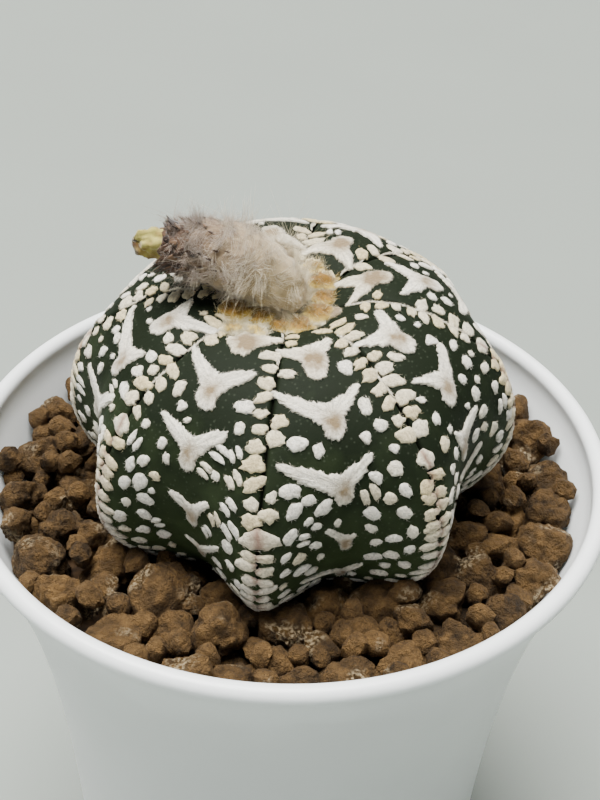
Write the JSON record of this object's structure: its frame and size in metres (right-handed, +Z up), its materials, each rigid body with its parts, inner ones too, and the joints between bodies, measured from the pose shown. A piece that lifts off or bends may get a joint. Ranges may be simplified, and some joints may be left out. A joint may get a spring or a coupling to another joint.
{
  "type": "potted star cactus",
  "caption": "Squat ribbed star cactus with white felt flecks, woolly crown and a dried seed pod, in a white plastic flower pot filled with clay granules.",
  "frame": {"origin": "middle of the circle on which the pot stands, at the surface under it", "axes": "+Z up along the pot's axis and the part's longest extent, -Y towards the viewer, +X to the viewer's right; the seed pod leans towards -X"},
  "size_m": [0.09, 0.09, 0.1118],
  "materials": {
    "pot": "satin translucent white plastic",
    "soil": "rough baked clay granules",
    "cactus_body": "grey-green skin with white felt flecks",
    "crown_wool": "cream wool",
    "seed_pod": "dry woolly husk with brown scales",
    "flower_remnant": "dry crumpled petals"
  },
  "bodies": {
    "root": {"pot": "pot", "soil": "soil", "cactus_body": "cactus_body", "crown_wool": "crown_wool", "seed_pod": "seed_pod", "flower_remnant": "flower_remnant"}
  },
  "joints": []
}
